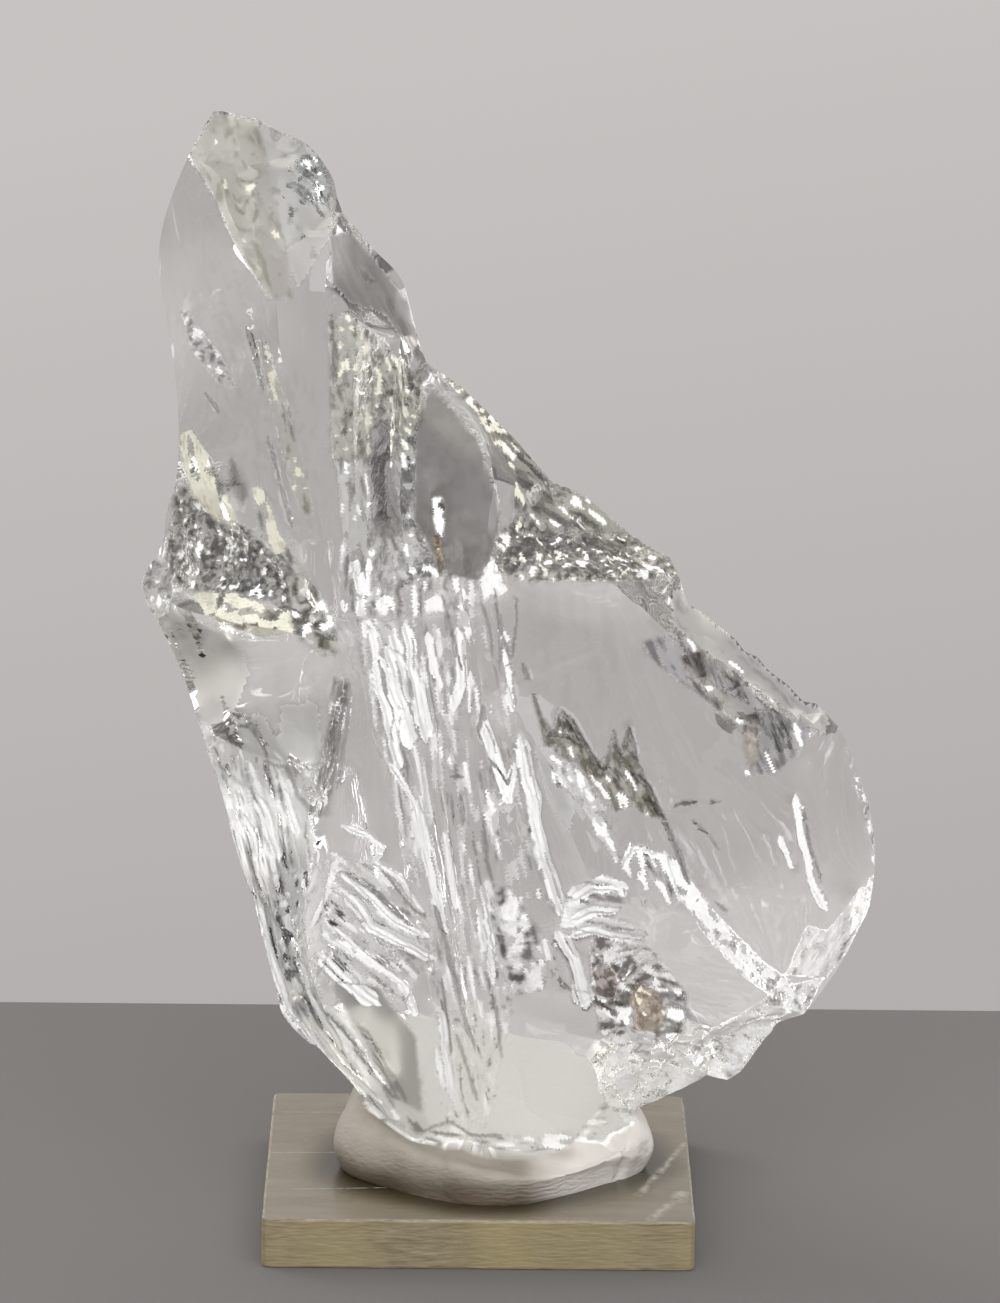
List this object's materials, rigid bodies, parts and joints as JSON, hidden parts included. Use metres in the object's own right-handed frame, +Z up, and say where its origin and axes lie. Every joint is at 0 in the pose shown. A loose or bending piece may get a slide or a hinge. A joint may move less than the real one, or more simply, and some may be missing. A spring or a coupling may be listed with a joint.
{
  "type": "mineral specimen on a display base",
  "caption": "Clear glass shard specimen, the andara crystal, held upright in putty on a square acrylic display base.",
  "frame": {"origin": "centre of the acrylic base's underside", "axes": "+Z up, +X to the right and +Y away from the front, as seen from the side the shard's broad fluted face looks to"},
  "size_m": [0.0876, 0.0508, 0.132],
  "materials": {
    "crystal": "clear colourless glass with fresh conchoidal breaks, glossy windows, fluted ridges and rough crumbled ledges with a faint green cast",
    "putty": "warm off-white mineral putty, matt, thumb-pressed with fine wrinkles and a few dark specks",
    "base": "clear acrylic yellowed with age, olive-yellow at its edges, with fine scratches on top and dull sawn sides"
  },
  "bodies": {
    "root": {"crystal": "crystal", "putty": "putty", "base": "base"}
  },
  "joints": []
}
